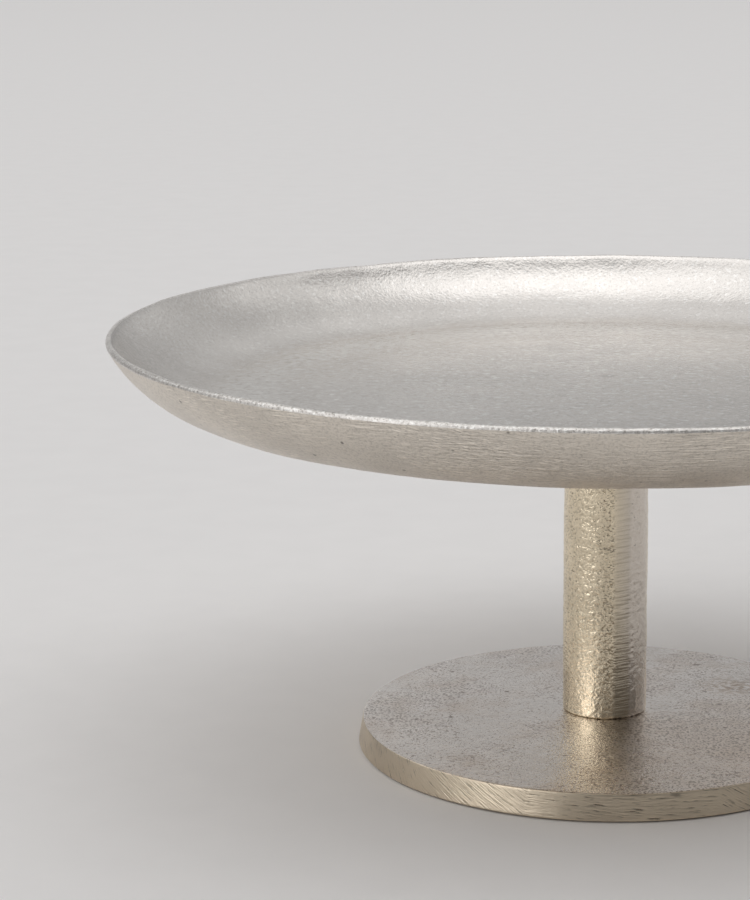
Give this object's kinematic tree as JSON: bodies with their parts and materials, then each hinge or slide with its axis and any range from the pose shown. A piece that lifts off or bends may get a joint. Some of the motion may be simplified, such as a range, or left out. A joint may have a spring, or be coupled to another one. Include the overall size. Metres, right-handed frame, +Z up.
{
  "type": "footed paten plate",
  "caption": "Shallow round cast-metal dish with a curved rim on a plain tubular stem and a disc base, held by a hidden tie rod, standing on felt pads.",
  "frame": {"origin": "on the table, at the centre of the base, under the stem", "axes": "+Z up along the stem; the piece is round, so +X and +Y only place the felt pads"},
  "size_m": [0.3, 0.3, 0.1296],
  "materials": {
    "dish_metal": "sand-cast aluminium with a warm raw-nickel finish, satin inside and linished outside",
    "stem_metal": "sand-cast aluminium with a warm raw-nickel finish, rough grain with a soft shine",
    "base_metal": "sand-cast aluminium with a warm raw-nickel finish, pitted on top and linished at the edge",
    "zinc_steel": "zinc-plated steel",
    "felt": "dark pressed felt"
  },
  "bodies": {
    "root": {"dish": "dish_metal", "stem": "stem_metal", "base_plate": "base_metal", "tie_rod": "zinc_steel", "flat_washer": "zinc_steel", "spring_washer": "zinc_steel", "hex_nut": "zinc_steel", "felt_pad_1": "felt", "felt_pad_2": "felt", "felt_pad_3": "felt", "felt_pad_4": "felt"}
  },
  "joints": []
}
